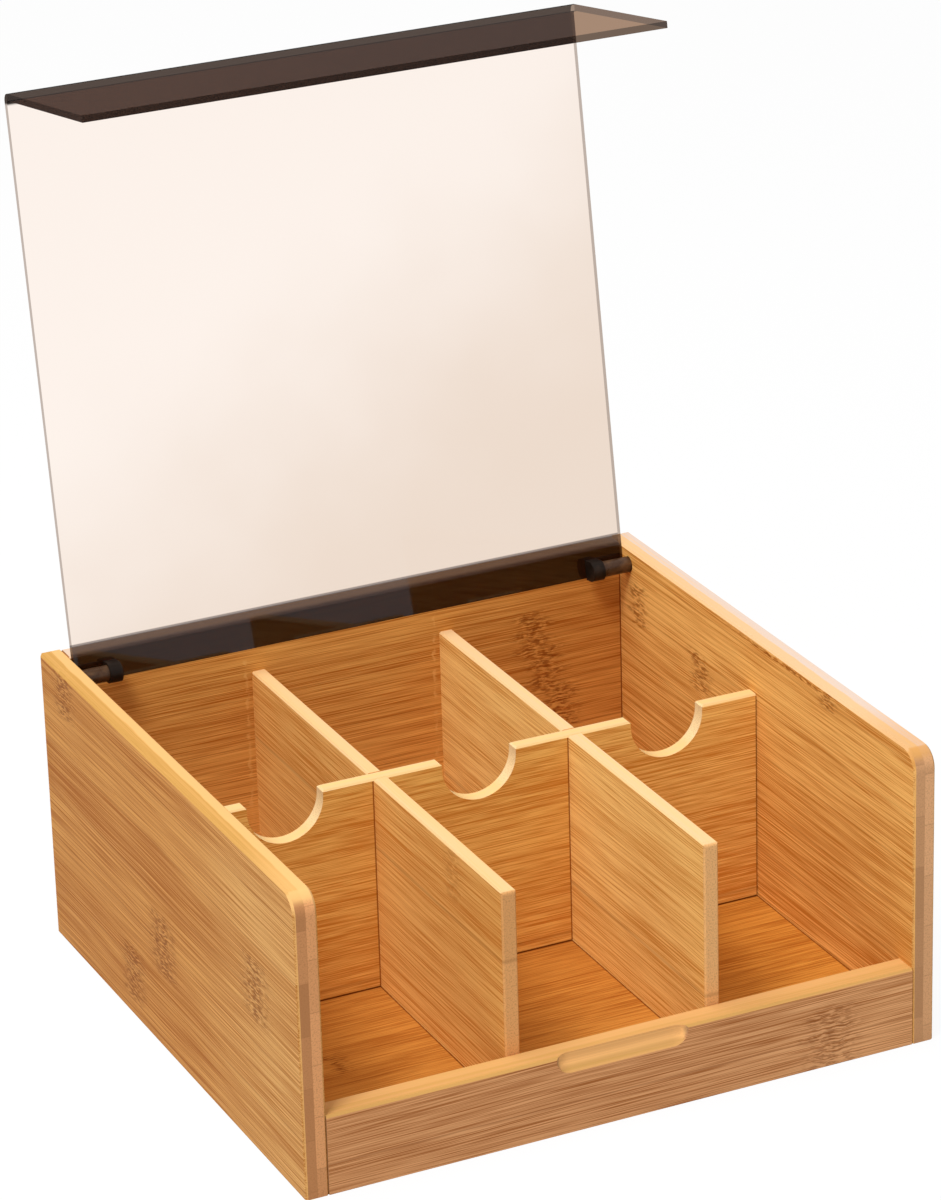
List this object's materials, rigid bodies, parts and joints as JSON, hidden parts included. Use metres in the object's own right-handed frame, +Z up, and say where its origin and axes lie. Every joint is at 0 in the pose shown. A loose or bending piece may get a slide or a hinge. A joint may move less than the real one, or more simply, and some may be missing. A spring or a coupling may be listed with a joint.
{
  "type": "tea bag organizer box",
  "caption": "Open wooden box with a grid of bays for tea bags, a low front rail and a bent see-through lid that swings up on side pins.",
  "frame": {"origin": "on the surface the box stands on, at the middle of the front rail's front bottom edge", "axes": "+X to the right, +Y to the back, +Z up; the lid's hinge axis runs along X"},
  "size_m": [0.24, 0.2517, 0.3266],
  "materials": {
    "bamboo": "satin lacquered laminated bamboo",
    "bamboo_floor": "satin lacquered laminated bamboo, warmer",
    "bamboo_divider": "satin lacquered laminated bamboo, paler",
    "dowel_wood": "raw turned wood",
    "smoked_acrylic": "polished see-through smoked sheet",
    "black_plastic": "satin moulded",
    "smoked_plastic": "polished dark rod"
  },
  "bodies": {
    "case": {"left_side_wall": "bamboo", "right_side_wall": "bamboo", "back_wall": "bamboo", "front_rail": "bamboo", "bottom_panel": "bamboo_floor", "left_long_divider": "bamboo_divider", "right_long_divider": "bamboo_divider", "cross_divider": "bamboo_divider", "back_corner_dowels": "dowel_wood", "front_corner_dowels": "dowel_wood"},
    "lid": {"lid_sheet": "smoked_acrylic", "left_hinge_block": "black_plastic", "right_hinge_block": "black_plastic", "left_hinge_pin": "smoked_plastic", "right_hinge_pin": "smoked_plastic"}
  },
  "joints": [
    {"name": "lid_hinge", "type": "hinge", "parent": "case", "child": "lid", "pos_m": [0, 0.21287, 0.1053], "axis": [1, 0, 0], "range_deg": [0, 100]}
  ]
}
